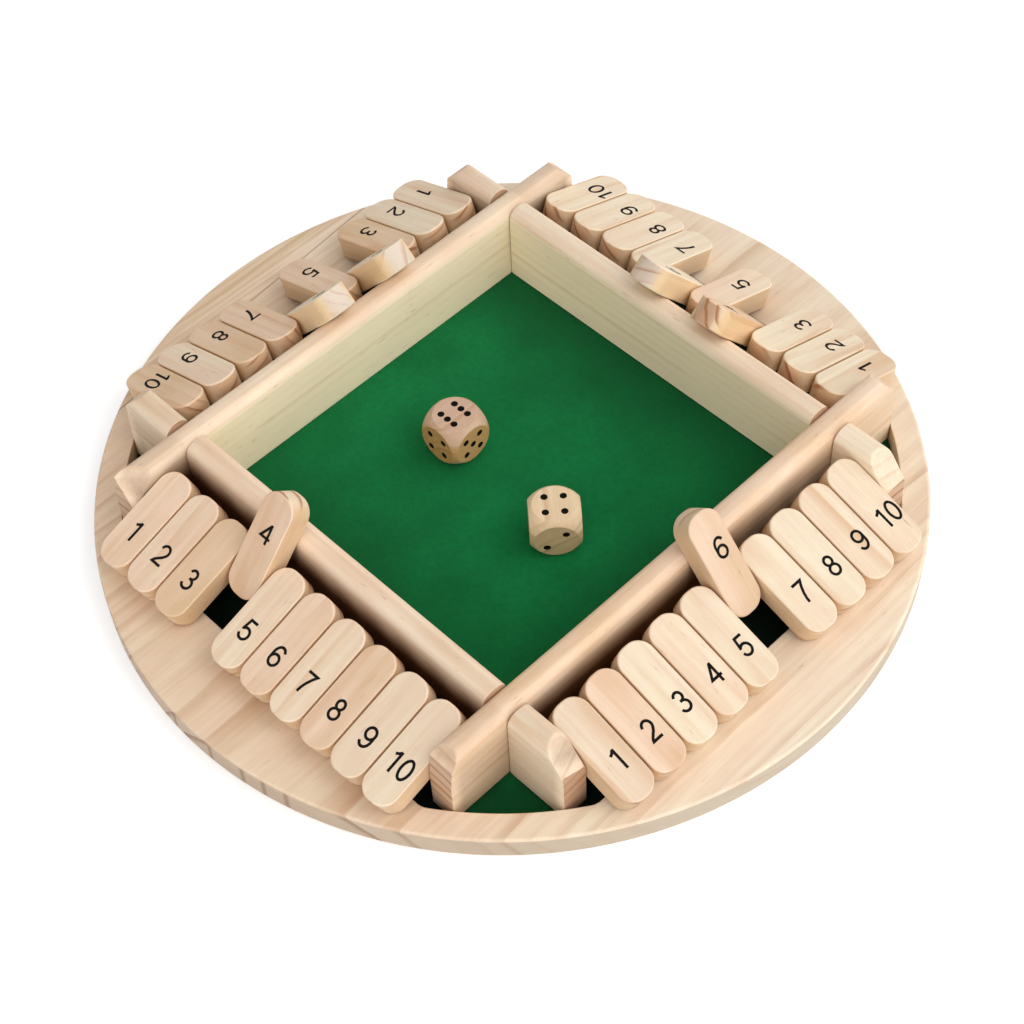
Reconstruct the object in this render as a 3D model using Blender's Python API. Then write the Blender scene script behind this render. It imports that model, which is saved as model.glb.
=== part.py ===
"""Four-player shut the box: a round board with a square dice pit, number tiles and two dice.

Metres, +Z up. The origin is under the board's centre, on the table. +X runs along the two
cross rails and +Y along the two long rails. Four rows of ten tiles turn on rods around the pit.
"""
import math

import bmesh
import bpy
from mathutils import Matrix

# Number tiles
TILES_IN_ROW = 10
TILE_LENGTH = 0.0417
TILE_WIDTH = 0.0147
TILE_THICKNESS = 0.0098
TILE_END_FLAT = 0.0021
TILE_EDGE_EASE = 0.0006
TILE_ROD_SETBACK = 0.0094
TILE_SIDE_GAP = 0.0008
ROW_END_PLAY = 0.0004

# Rails around the pit
RAIL_THICKNESS = 0.0106
RAIL_HEIGHT = 0.0341
RAIL_CROWN_FLAT = 0.0014
RAIL_END_CHAMFER = 0.0050
RAIL_END_LEAN = 0.0010
RAIL_END_LEAN_HEIGHT = 0.0100

# Hinge rods
ROD_RADIUS = 0.0015
ROD_END_CHAMFER = 0.0003
ROD_STANDOFF = 0.0140
ROD_RISE = 0.0156
ROD_SOCKET_DEPTH = 0.0060

# Board, base and felt, with the widths of the well under a row, the corner pocket and the rim
WELL_WIDTH = 0.0325
POCKET_REACH = 0.0238
RIM_WIDTH = 0.0106
BOARD_THICKNESS = 0.0105
BOARD_EDGE_ROUND = 0.0014
OPENING_CORNER_ROUND = 0.0060
OPENING_EDGE_EASE = 0.0005
BASE_INSET = 0.0050
BASE_THICKNESS = 0.0020
FELT_THICKNESS = 0.0006

# Dice
DIE_SIDE = 0.0192
DIE_BALL_PROUD = 0.00306

# Fits
SEAT_GAP = 0.0003
ROD_RUNNING_GAP = 0.0004
CUT_OVERRUN = 0.0020

# How finely round shapes are divided
BOARD_STEPS = 96
ROUND_EDGE_STEPS = 3
OPENING_ARC_STEPS = 6
OPENING_FILLET_STEPS = 4
CROWN_STEPS = 6
TILE_CORNER_STEPS = 5
ROD_STEPS = 12
BALL_STEPS = 32
SMOOTH_ANGLE = math.radians(32)

# Heights of the stack, from the table up
FELT_BOTTOM = BASE_THICKNESS + SEAT_GAP
FELT_TOP = FELT_BOTTOM + FELT_THICKNESS
RAIL_BOTTOM = FELT_TOP + SEAT_GAP
RAIL_TOP = RAIL_BOTTOM + RAIL_HEIGHT
ROD_HEIGHT = BOARD_THICKNESS + ROD_RISE

# Tiles along a row and about their rod
TILE_PITCH = TILE_WIDTH + TILE_SIDE_GAP
TILE_CORNER_RADIUS = (TILE_WIDTH - TILE_END_FLAT) / 2
TILE_REACH = TILE_LENGTH - TILE_ROD_SETBACK
TILE_HOLE_RADIUS = ROD_RADIUS + ROD_RUNNING_GAP
ROW_LENGTH = TILES_IN_ROW * TILE_PITCH - TILE_SIDE_GAP + 2 * ROW_END_PLAY

# Distances from the board's centre, from the pit outwards. A row just fits between two rails
RAIL_INNER_FACE = ROW_LENGTH / 2
RAIL_CENTRE = RAIL_INNER_FACE + RAIL_THICKNESS / 2
RAIL_OUTER_FACE = RAIL_INNER_FACE + RAIL_THICKNESS
ROD_DISTANCE = RAIL_OUTER_FACE + ROD_STANDOFF
OPENING_HALF_WIDTH = RAIL_OUTER_FACE + WELL_WIDTH
OPENING_RADIUS = OPENING_HALF_WIDTH + POCKET_REACH
BOARD_RADIUS = OPENING_RADIUS + RIM_WIDTH
BASE_RADIUS = BOARD_RADIUS - BASE_INSET
RAIL_END = math.sqrt((OPENING_RADIUS - SEAT_GAP) ** 2 - RAIL_OUTER_FACE ** 2)

# Round forms that follow their piece
RAIL_CROWN_RADIUS = (RAIL_THICKNESS - RAIL_CROWN_FLAT) / 2
DIE_BALL_RADIUS = DIE_SIDE / 2 + DIE_BALL_PROUD

# Each row: the side of the board that it faces, its turn about Z and its raised tiles
ROWS = (
    ("front", math.pi, (4,)),
    ("right", -math.pi / 2, (6,)),
    ("back", 0.0, (4, 6)),
    ("left", math.pi / 2, (4, 6)),
)

# Each die: its place as shares of the pit's half width, and its turn about Z
DICE_PLACE_SHARES = {
    "die_a": (-0.355, -0.019, 0.0),
    "die_b": (0.379, -0.078, math.radians(48.7)),
}

# Turns a solid stacked along Z so that it lies along X with its outline's Y pointing up
LAID_ALONG_X = Matrix(((0, 0, 1), (1, 0, 0), (0, 1, 0))).to_4x4()

PINE = (0.80, 0.62, 0.42)
PALE_PINE = (0.86, 0.71, 0.51)
RAIL_PINE = (0.79, 0.61, 0.42)
DICE_WOOD = (0.78, 0.60, 0.42)
FIBREBOARD = (0.45, 0.31, 0.19)
FELT_GREEN = (0.01, 0.17, 0.05)
STEEL = (0.62, 0.62, 0.60)


def clear_scene():
    """Remove everything that the file starts with."""
    for old in list(bpy.data.objects):
        bpy.data.objects.remove(old, do_unlink=True)


def finish_material(name, colour, roughness, metallic=0.0):
    """A plain surface finish for one piece."""
    material = bpy.data.materials.new(name + "_finish")
    material.use_nodes = True
    shader = material.node_tree.nodes["Principled BSDF"]
    shader.inputs["Base Color"].default_value = (*colour, 1.0)
    shader.inputs["Roughness"].default_value = roughness
    shader.inputs["Metallic"].default_value = metallic
    material.diffuse_color = (*colour, 1.0)
    return material


def circle(radius, steps):
    """Points of a circle about the origin, counter-clockwise."""
    points = []
    for step in range(steps):
        angle = 2 * math.pi * step / steps
        points.append((radius * math.cos(angle), radius * math.sin(angle)))
    return points


def arc(centre, radius, start, end, steps):
    """Points along an arc, both ends included."""
    points = []
    for step in range(steps + 1):
        angle = start + (end - start) * step / steps
        points.append((centre[0] + radius * math.cos(angle), centre[1] + radius * math.sin(angle)))
    return points


def quarter_turned(points, quarters):
    """The points turned about the origin by a number of quarter turns."""
    cosine, sine = ((1, 0), (0, 1), (-1, 0), (0, -1))[quarters % 4]
    return [(x * cosine - y * sine, x * sine + y * cosine) for x, y in points]


def opening_outline(offset=0.0):
    """The board's opening: a square whose corners are cut to a circle, grown by an offset.

    A small fillet joins each straight side to the circle's arc.
    """
    fillet_y = OPENING_HALF_WIDTH - OPENING_CORNER_ROUND
    fillet_distance = OPENING_RADIUS - OPENING_CORNER_ROUND
    fillet_x = math.sqrt(fillet_distance ** 2 - fillet_y ** 2)
    fillet_radius = OPENING_CORNER_ROUND + offset
    turn = math.atan2(fillet_y, fillet_x)
    upright = math.pi / 2
    corner = arc((fillet_y, fillet_x), fillet_radius, 0.0, upright - turn, OPENING_FILLET_STEPS)
    sweep = arc((0.0, 0.0), OPENING_RADIUS + offset, upright - turn, turn, OPENING_ARC_STEPS)
    corner += sweep[1:-1]
    corner += arc((fillet_x, fillet_y), fillet_radius, turn, upright, OPENING_FILLET_STEPS)
    outline = []
    for quarters in range(4):
        outline += quarter_turned(corner, quarters)
    return outline


def tile_outline(offset=0.0):
    """A tile seen from its face: X along the rod, Y from the rod to the free end."""
    radius = TILE_CORNER_RADIUS + offset
    side = TILE_WIDTH / 2 - TILE_CORNER_RADIUS
    near = -TILE_ROD_SETBACK + TILE_CORNER_RADIUS
    far = TILE_REACH - TILE_CORNER_RADIUS
    quarter = math.pi / 2
    corners = ((side, far), (-side, far), (-side, near), (side, near))
    outline = []
    for index, centre in enumerate(corners):
        start = quarter * index
        outline += arc(centre, radius, start, start + quarter, TILE_CORNER_STEPS)
    return outline


def rail_profile():
    """A rail's section: X across the rail, Y up from the rail's foot, with a rounded crown."""
    half = RAIL_THICKNESS / 2
    side = half - RAIL_CROWN_RADIUS
    shoulder = RAIL_HEIGHT - RAIL_CROWN_RADIUS
    quarter = math.pi / 2
    profile = [(-half, 0.0), (half, 0.0)]
    profile += arc((side, shoulder), RAIL_CROWN_RADIUS, 0.0, quarter, CROWN_STEPS)
    profile += arc((-side, shoulder), RAIL_CROWN_RADIUS, quarter, 2 * quarter, CROWN_STEPS)
    return profile


def stacked_solid(name, sections):
    """A closed solid through sections of (outline, height), lowest first, outlines alike."""
    shape = bmesh.new()
    rings = []
    for outline, height in sections:
        rings.append([shape.verts.new((x, y, height)) for x, y in outline])
    for lower, upper in zip(rings, rings[1:]):
        for index, corner in enumerate(lower):
            before = index - 1
            shape.faces.new((lower[before], corner, upper[index], upper[before]))
    shape.faces.new(list(reversed(rings[0])))
    shape.faces.new(rings[-1])
    bmesh.ops.recalc_face_normals(shape, faces=shape.faces[:])
    mesh = bpy.data.meshes.new(name)
    shape.to_mesh(mesh)
    shape.free()
    return mesh


def round_smoothly(mesh):
    """Shade the curved faces smooth and keep the real edges sharp."""
    mesh.shade_smooth()
    mesh.set_sharp_from_angle(angle=SMOOTH_ANGLE)


def add_piece(name, mesh, colour, roughness, metallic=0.0):
    """Put a mesh into the scene as one named piece with its own finish."""
    round_smoothly(mesh)
    piece = bpy.data.objects.new(name, mesh)
    piece.data.materials.append(finish_material(name, colour, roughness, metallic))
    bpy.context.collection.objects.link(piece)
    return piece


def add_cutter(name, mesh):
    """A guide that only cuts other pieces."""
    cutter = bpy.data.objects.new(name, mesh)
    cutter.display_type = "WIRE"
    cutter.hide_render = True
    bpy.context.collection.objects.link(cutter)
    return cutter


def cut(piece, cutter, operation="DIFFERENCE"):
    """Cut a piece by a guide and keep the cut live."""
    boolean = piece.modifiers.new(cutter.name, "BOOLEAN")
    boolean.operation = operation
    boolean.solver = "EXACT"
    boolean.object = cutter


def finished_mesh(name, piece):
    """The piece's shape with its modifiers worked out, for copies that share it."""
    bpy.context.view_layer.update()
    graph = bpy.context.evaluated_depsgraph_get()
    mesh = bpy.data.meshes.new_from_object(piece.evaluated_get(graph))
    mesh.name = name
    mesh.materials.clear()
    return mesh


def eased_edge(depth, steps):
    """(inset, rise) pairs from a flat face round to its side, through a quarter circle."""
    pairs = []
    for step in range(steps + 1):
        angle = math.pi / 2 * step / steps
        pairs.append((depth * (1 - math.sin(angle)), depth * (1 - math.cos(angle))))
    return pairs


def board_disc(name):
    """The board's full disc with a rounded rim."""
    sections = []
    for inset, rise in eased_edge(BOARD_EDGE_ROUND, ROUND_EDGE_STEPS):
        sections.append((circle(BOARD_RADIUS - inset, BOARD_STEPS), rise))
    for inset, rise in reversed(eased_edge(BOARD_EDGE_ROUND, ROUND_EDGE_STEPS)):
        sections.append((circle(BOARD_RADIUS - inset, BOARD_STEPS), BOARD_THICKNESS - rise))
    return stacked_solid(name, sections)


def make_board():
    """The ring board: a disc with the opening cut through and a seat for the base beneath."""
    ring = add_piece("ring_board", board_disc("ring_board"), PINE, 0.55)
    above = BOARD_THICKNESS + CUT_OVERRUN
    flare = OPENING_EDGE_EASE + CUT_OVERRUN
    opening = stacked_solid("opening_cut", [
        (opening_outline(), -CUT_OVERRUN),
        (opening_outline(), BOARD_THICKNESS - OPENING_EDGE_EASE),
        (opening_outline(flare), above),
    ])
    cut(ring, add_cutter("opening_cut", opening))
    seat = stacked_solid("base_seat_cut", [
        (circle(BASE_RADIUS + SEAT_GAP, BOARD_STEPS), -CUT_OVERRUN),
        (circle(BASE_RADIUS + SEAT_GAP, BOARD_STEPS), BASE_THICKNESS + SEAT_GAP),
    ])
    cut(ring, add_cutter("base_seat_cut", seat))


def make_base():
    """The thin base let into the board's underside."""
    disc = circle(BASE_RADIUS, BOARD_STEPS)
    mesh = stacked_solid("base_board", [(disc, 0.0), (disc, BASE_THICKNESS)])
    add_piece("base_board", mesh, FIBREBOARD, 0.8)


def make_felt():
    """The felt that lines the whole opening."""
    outline = opening_outline(-SEAT_GAP)
    mesh = stacked_solid("felt_mat", [(outline, FELT_BOTTOM), (outline, FELT_TOP)])
    add_piece("felt_mat", mesh, FELT_GREEN, 0.95)


def rail_mesh(name, length):
    """A rail of one length, upright, lying along X and centred on its foot."""
    mesh = stacked_solid(name, [(rail_profile(), -length / 2), (rail_profile(), length / 2)])
    mesh.transform(LAID_ALONG_X)
    return mesh


def add_rail(name, length, centre, turn):
    """One rail stood on the felt."""
    rail = add_piece(name, rail_mesh(name, length), RAIL_PINE, 0.5)
    rail.location = (centre[0], centre[1], RAIL_BOTTOM)
    rail.rotation_euler = (0.0, 0.0, turn)
    return rail


def socket_cutter(row_name, turn):
    """The guide for both blind sockets of a row's rod, one straight bar past the rails' faces."""
    half = RAIL_INNER_FACE + ROD_SOCKET_DEPTH
    outline = circle(ROD_RADIUS + SEAT_GAP, ROD_STEPS)
    bar = stacked_solid(row_name + "_socket_cut", [(outline, -half), (outline, half)])
    cutter = add_cutter(row_name + "_socket_cut", bar)
    place_on_row(cutter, turn)
    return cutter


def place_on_row(bar, turn):
    """Lay a bar that was made along Z onto a row's rod axis."""
    bar.rotation_euler = (0.0, math.pi / 2, turn)
    bar.location = row_point(turn, 0.0)


def row_point(turn, along):
    """A point on a row's rod axis, by its distance along the row."""
    x = along * math.cos(turn) - ROD_DISTANCE * math.sin(turn)
    y = along * math.sin(turn) + ROD_DISTANCE * math.cos(turn)
    return (x, y, ROD_HEIGHT)


def end_cutter(row_name, turn):
    """The guide that sands back the rail ends on one side of the board.

    Below the crown an end leans back a little, and its top corner is chamfered.
    """
    chamfer_start = RAIL_END - RAIL_END_LEAN
    chamfer_foot = RAIL_TOP - RAIL_END_CHAMFER
    outside = RAIL_END + CUT_OVERRUN
    above = RAIL_TOP + CUT_OVERRUN
    lean_run = RAIL_END_LEAN + CUT_OVERRUN
    outline = [
        (outside, chamfer_foot - RAIL_END_LEAN_HEIGHT * lean_run / RAIL_END_LEAN),
        (outside, above),
        (chamfer_start - RAIL_END_CHAMFER - CUT_OVERRUN, above),
        (chamfer_start, chamfer_foot),
    ]
    half = RAIL_OUTER_FACE + CUT_OVERRUN
    wedge = stacked_solid(row_name + "_end_cut", [(outline, -half), (outline, half)])
    wedge.transform(LAID_ALONG_X)
    cutter = add_cutter(row_name + "_end_cut", wedge)
    cutter.rotation_euler = (0.0, 0.0, turn)
    return cutter


def make_rails(sockets, ends):
    """Two long rails, two cross rails between them and four stubs outside them."""
    for name, side in (("left", -1), ("right", 1)):
        rail = add_rail("long_rail_" + name, 2 * RAIL_END, (side * RAIL_CENTRE, 0.0), math.pi / 2)
        for end_name in ("front", "back"):
            cut(rail, sockets[end_name])
            cut(rail, ends[end_name])
    cross_length = 2 * (RAIL_INNER_FACE - SEAT_GAP)
    stub_start = RAIL_OUTER_FACE + SEAT_GAP
    stub_length = RAIL_END - stub_start
    stub_centre = stub_start + stub_length / 2
    for name, side in (("front", -1), ("back", 1)):
        add_rail("cross_rail_" + name, cross_length, (0.0, side * RAIL_CENTRE), 0.0)
        for end_name, end in (("left", -1), ("right", 1)):
            stub_name = "stub_rail_" + name + "_" + end_name
            stub = add_rail(stub_name, stub_length, (end * stub_centre, side * RAIL_CENTRE), 0.0)
            cut(stub, sockets[end_name])
            cut(stub, ends[end_name])


def make_rods():
    """One steel rod for each row, seated in the sockets at both ends."""
    half = RAIL_INNER_FACE + ROD_SOCKET_DEPTH - SEAT_GAP
    end = circle(ROD_RADIUS - ROD_END_CHAMFER, ROD_STEPS)
    shank = circle(ROD_RADIUS, ROD_STEPS)
    for row_name, turn, _ in ROWS:
        name = "hinge_rod_" + row_name
        mesh = stacked_solid(name, [
            (end, -half),
            (shank, ROD_END_CHAMFER - half),
            (shank, half - ROD_END_CHAMFER),
            (end, half),
        ])
        rod = add_piece(name, mesh, STEEL, 0.3, 1.0)
        place_on_row(rod, turn)


def lying_tilt():
    """A lying tile's tilt: its free end's lower edge rests on the board's top."""
    reach = TILE_REACH - TILE_EDGE_EASE
    half = TILE_THICKNESS / 2
    drop = ROD_HEIGHT - BOARD_THICKNESS - SEAT_GAP
    return math.atan2(half, reach) - math.asin(drop / math.hypot(reach, half))


def raised_tilt():
    """A raised tile's tilt: its numbered face leans on the crown of the rail behind it."""
    to_crown_x = RAIL_OUTER_FACE - RAIL_CROWN_RADIUS - ROD_DISTANCE
    to_crown_z = RAIL_TOP - RAIL_CROWN_RADIUS - ROD_HEIGHT
    offset = TILE_THICKNESS / 2 + RAIL_CROWN_RADIUS + SEAT_GAP
    slant = math.asin(offset / math.hypot(to_crown_x, to_crown_z))
    return math.atan2(to_crown_z, to_crown_x) - slant


def tile_blank():
    """A tile drilled for its rod, with its origin on the rod's axis."""
    half = TILE_THICKNESS / 2
    mesh = stacked_solid("tile", [
        (tile_outline(-TILE_EDGE_EASE), -half),
        (tile_outline(), TILE_EDGE_EASE - half),
        (tile_outline(), half - TILE_EDGE_EASE),
        (tile_outline(-TILE_EDGE_EASE), half),
    ])
    round_smoothly(mesh)
    blank = add_cutter("tile_blank", mesh)
    drill_half = TILE_WIDTH / 2 + CUT_OVERRUN
    hole = circle(TILE_HOLE_RADIUS, ROD_STEPS)
    drill = stacked_solid("tile_drill", [(hole, -drill_half), (hole, drill_half)])
    driller = add_cutter("tile_drill", drill)
    driller.rotation_euler = (0.0, math.pi / 2, 0.0)
    cut(blank, driller)
    shared = finished_mesh("tile", blank)
    bpy.data.objects.remove(blank)
    bpy.data.objects.remove(driller)
    return shared


def make_tiles():
    """Ten tiles on every rod, numbered from the left of the player who sits outside."""
    blank = tile_blank()
    middle = (TILES_IN_ROW + 1) / 2
    for row_name, turn, raised in ROWS:
        for number in range(1, TILES_IN_ROW + 1):
            name = "tile_" + row_name + "_" + str(number)
            tile = add_piece(name, blank.copy(), PALE_PINE, 0.5)
            tilt = raised_tilt() if number in raised else lying_tilt()
            tile.rotation_euler = (tilt, 0.0, turn)
            tile.location = row_point(turn, (middle - number) * TILE_PITCH)


def make_dice():
    """Two cubes with their corners and edges turned away to a ball, lying in the pit."""
    half = DIE_SIDE / 2
    square = [(half, half), (-half, half), (-half, -half), (half, -half)]
    for name, (x_share, y_share, turn) in DICE_PLACE_SHARES.items():
        die = add_piece(name, stacked_solid(name, [(square, -half), (square, half)]), DICE_WOOD, 0.5)
        die.location = (x_share * RAIL_INNER_FACE, y_share * RAIL_INNER_FACE, RAIL_BOTTOM + half)
        die.rotation_euler = (0.0, 0.0, turn)
        ball = add_cutter(name + "_ball", ball_mesh(name + "_ball"))
        ball.location = die.location
        ball.rotation_euler = die.rotation_euler
        cut(die, ball, "INTERSECT")


def ball_mesh(name):
    """The ball that a die's corners are turned to."""
    ball = bmesh.new()
    rings = BALL_STEPS // 2
    bmesh.ops.create_uvsphere(ball, u_segments=BALL_STEPS, v_segments=rings, radius=DIE_BALL_RADIUS)
    mesh = bpy.data.meshes.new(name)
    ball.to_mesh(mesh)
    ball.free()
    return mesh


def main():
    clear_scene()
    make_board()
    make_base()
    make_felt()
    sockets = {row_name: socket_cutter(row_name, turn) for row_name, turn, _ in ROWS}
    ends = {row_name: end_cutter(row_name, turn) for row_name, turn, _ in ROWS}
    make_rails(sockets, ends)
    make_rods()
    make_tiles()
    make_dice()


main()
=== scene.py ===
"""The looks of a four-player shut the box: pine board, rails and tiles, felt pit, wooden dice.

Metres, +Z up, in the frame of the solid model. The board lies on the floor with its centre over
the origin. +X runs along the cross rails and +Y along the long rails and the board's grain.
"""
import math
import random

import bmesh
import bpy
from mathutils import Matrix, Vector


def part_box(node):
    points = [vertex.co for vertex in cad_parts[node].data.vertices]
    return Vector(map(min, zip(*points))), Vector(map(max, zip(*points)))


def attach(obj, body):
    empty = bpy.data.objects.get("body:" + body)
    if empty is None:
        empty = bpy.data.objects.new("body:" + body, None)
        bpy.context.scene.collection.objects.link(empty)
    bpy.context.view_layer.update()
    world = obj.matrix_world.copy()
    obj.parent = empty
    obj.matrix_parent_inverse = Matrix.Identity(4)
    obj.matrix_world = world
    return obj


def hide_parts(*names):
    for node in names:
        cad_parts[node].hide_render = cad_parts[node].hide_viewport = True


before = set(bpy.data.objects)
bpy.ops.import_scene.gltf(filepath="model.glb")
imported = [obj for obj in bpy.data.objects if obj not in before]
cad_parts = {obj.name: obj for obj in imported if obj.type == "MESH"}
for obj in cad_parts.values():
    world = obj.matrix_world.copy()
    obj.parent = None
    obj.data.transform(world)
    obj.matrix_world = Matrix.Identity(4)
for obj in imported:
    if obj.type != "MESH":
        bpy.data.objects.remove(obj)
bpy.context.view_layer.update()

MM = 0.001
SLICE_TOLERANCE = 0.001 * MM
OVERRUN = 2 * MM

# How finely round pieces are cut, and from which angle an edge counts as square or as sharp
DISC_SIDES = 240
BAR_SIDES = 32
CROWN_STEPS = 12
TILE_CORNER_STEPS = 10
SQUARE_EDGE = math.radians(60)
SHARP_EDGE = math.radians(12)
DIE_SHARP_EDGE = math.radians(30)

# Sizes taken from the solid model
BOARD_LOW, BOARD_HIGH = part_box("ring_board")
FELT_LOW, FELT_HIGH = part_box("felt_mat")
BASE_LOW, BASE_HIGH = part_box("base_board")
LONG_RAIL_LOW, LONG_RAIL_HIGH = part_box("long_rail_right")
_, CROSS_RAIL_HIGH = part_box("cross_rail_back")
ROD_LOW, ROD_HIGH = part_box("hinge_rod_back")
DIE_LOW, DIE_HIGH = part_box("die_a")

BOARD_RADIUS = BOARD_HIGH.x
BASE_RADIUS = BASE_HIGH.x
OPENING_HALF_WIDTH = 120.6 * MM
OPENING_RADIUS = 144.4 * MM
OPENING_CORNER_ROUND = 6.0 * MM
OPENING_EDGE_EASE = 0.6 * MM
BOARD_EDGE_ROUND = 1.4 * MM
BASE_EDGE_EASE = 0.3 * MM
FELT_EDGE_EASE = 0.2 * MM
SEAT_GAP = 0.3 * MM

RAIL_THICKNESS = LONG_RAIL_HIGH.x - LONG_RAIL_LOW.x
RAIL_CENTRE = (LONG_RAIL_HIGH.x + LONG_RAIL_LOW.x) / 2
RAIL_END = LONG_RAIL_HIGH.y
RAIL_TOP = LONG_RAIL_HIGH.z
RAIL_CROWN_RADIUS = 4.6 * MM
RAIL_END_CHAMFER = 5.0 * MM
RAIL_END_LEAN = 1.0 * MM
RAIL_END_LEAN_HEIGHT = 10.0 * MM
RAIL_EDGE_EASE = 0.35 * MM

ROD_RADIUS = (ROD_HIGH.z - ROD_LOW.z) / 2
ROD_DISTANCE = (ROD_HIGH.y + ROD_LOW.y) / 2
ROD_HEIGHT = (ROD_HIGH.z + ROD_LOW.z) / 2
ROD_HALF_LENGTH = ROD_HIGH.x
ROD_END_EASE = 0.3 * MM
SOCKET_CLEARANCE = 0.3 * MM

TILES_IN_ROW = 10
TILE_PITCH = 15.5 * MM
TILE_WIDTH = 14.7 * MM
TILE_LENGTH = 41.7 * MM
TILE_THICKNESS = 9.8 * MM
TILE_CORNER_RADIUS = 6.3 * MM
TILE_EDGE_EASE = 0.6 * MM
TILE_END_EASE = 0.70 * MM
TILE_SIDE_EASE = 0.32 * MM
TILE_EASE_PROFILE = 0.33
TILE_ROD_SETBACK = 9.4 * MM
TILE_HOLE_RADIUS = 1.9 * MM

NUMBER_HEIGHT = 8.4 * MM
NUMBER_STROKE_SHARE = 0.126
NUMBER_DISTANCE = 17.1 * MM
INK_THICKNESS = 0.06 * MM
INK_SINK = 0.02 * MM

DIE_SIDE = DIE_HIGH.z - DIE_LOW.z
DIE_BALL_RADIUS = DIE_SIDE / 2 + 3.06 * MM
DIE_EDGE_ROUND = 0.4 * MM
PIP_RADIUS = 1.35 * MM
PIP_DEPTH = 0.55 * MM

# Each row: its turn about Z, its raised tiles and the wood of its tiles from 1 to 10
ROWS = {
    "front": (math.pi, (4,), "honey pink tan honey peach honey cream honey peach cream"),
    "right": (-math.pi / 2, (6,), "sand peach pale cream pale amber pale pale peach peach"),
    "back": (0.0, (4, 6), "straw straw straw russet cream chalk straw cream cream straw"),
    "left": (math.pi / 2, (4, 6), "cream straw tan chalk honey chalk honey tan peach tan"),
}

# How far the printed numbers 1 to 5 and 6 to 10 stand off their tile's middle in each row
NUMBER_SHIFTS = {
    "front": (-0.3 * MM, -0.3 * MM),
    "right": (-1.3 * MM, -1.3 * MM),
    "back": (0.1 * MM, 2.4 * MM),
    "left": (1.0 * MM, 1.0 * MM),
}

# The wood of a piece: lightness, redness (below 0 its ends turn white, past 1 it turns tan) and
# how strongly its rings show
TONES = {
    "pale": (0.99, 0.25, 0.6),
    "cream": (1.0, 0.45, 0.8),
    "straw": (1.0, 0.0, 1.1),
    "pink": (0.97, 0.95, 1.2),
    "peach": (0.99, 0.7, 0.9),
    "honey": (0.975, 1.25, 1.0),
    "tan": (0.955, 1.6, 1.3),
    "russet": (1.0, 1.8, 3.2),
    "chalk": (1.0, -0.8, 0.5),
    "sand": (0.925, 0.5, 1.0),
    "amber": (0.925, 1.5, 1.3),
}

# Tiles whose end grain is browner than the rest
BROWN_ENDS = {"tile_back_4": 1.6, "tile_front_8": 1.2, "tile_front_9": 1.2,
              "tile_front_10": 1.45, "tile_right_1": 1.35}

# Tiles whose sides are paler than the rest, and how much
PALE_SIDED = ("tile_back_4", "tile_back_6", "tile_left_4", "tile_left_6")
PALE_SIDES = 2.0

# Camera of the photograph: its turn, height above the horizon, roll and lens
CAMERA_AZIMUTH = math.radians(47.66)
CAMERA_ELEVATION = math.radians(52.47)
CAMERA_ROLL = math.radians(-3.2)
CAMERA_DISTANCE = 779.6 * MM
CAMERA_SIDE_STEP = 0.4 * MM
CAMERA_RISE = -8.82 * MM
SENSOR_WIDTH_MM = 36.0
CAMERA_LENS_MM = 72.754

# The wells under the tiles, where the felt is painted almost black as shade: how far out they
# start, and the width of their edge
WELL_START = LONG_RAIL_HIGH.x + 2 * MM
WELL_FADE = 6 * MM

# The pit's felt has painted shade, a deeper green near the walls on the right, the front and the
# back
PIT_SHADE = (30 * MM, 78 * MM)

# The glued seam on the board's left: its direction and distance from the centre, where the stave
# past it starts and is full, and where its dark line starts to fade and ends
SEAM_NORMAL = (-0.9958, -0.0918)
SEAM_DISTANCE = 137.4 * MM
SEAM_EDGE = (SEAM_DISTANCE - 0.2 * MM, SEAM_DISTANCE + 0.2 * MM)
SEAM_LINE = (0.1 * MM, 0.55 * MM)

# Marks of glued joints on the front rim, across X, and where each starts to fade and ends
RIM_JOINTS = (-9 * MM, 10 * MM, 25 * MM, 34 * MM, 43 * MM)
RIM_JOINT = (0.5 * MM, 1.4 * MM)

# Where the rim's front, its painted shade on the left and the board's painted shade towards the
# front start and are full
FRONT_RIM = (-120 * MM, -125 * MM)
LEFT_RIM = (-70 * MM, -130 * MM)
BOARD_FRONT_SHADE = (0.0, -150 * MM)

# The rails' painted shade beside the wells, a brown: its start before them, its soft edge, the
# heights where it starts and is full, where it ends near the rails' ends, and the sums of X and Y
# where it fades
RAIL_SHADE_LEAD = 4.5 * MM
RAIL_SHADE_FADE = 2.4 * MM
RAIL_SHADE_HEIGHTS = (RAIL_TOP - 1 * MM, RAIL_TOP - 15 * MM)
RAIL_SHADE_END = (RAIL_END - 5 * MM, RAIL_END - 1.6 * MM)
RAIL_OPEN_CORNER = (90 * MM, 165 * MM)

# Where the rails' faces change from those in the pit, paler with painted light, to those outside
PIT_SIDE = (RAIL_CENTRE - 1 * MM, RAIL_CENTRE + 1 * MM)

# The heights where the painted shade, a brown at the tiles' rod ends, starts and is full
TILE_END_SHADE_HEIGHTS = (ROD_HEIGHT + 6.4 * MM, ROD_HEIGHT - 0.6 * MM)

# How far a ring wanders off its circle, slowly and quickly along the grain
RING_DRIFT = 5.0 * MM
RING_WAVER = 0.7 * MM

# Where a tree's heart lies across and up from a piece's middle, for the tiles as two ranges in
# millimetres, and the seeds of the draws that go with it
BOARD_HEART = (35 * MM, -40 * MM)
STUB_HEART = (6 * MM, -46 * MM)
DIE_HEART = (14 * MM, -17 * MM)
TILE_HEARTS = ((8, 60), (-70, -22))
BOARD_SEED = 3
TILES_SEED = 7
LONG_RAILS_SEED = 11
CROSS_RAILS_SEED = 21
STUBS_SEED = 31
DICE_SEED = 50

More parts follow.
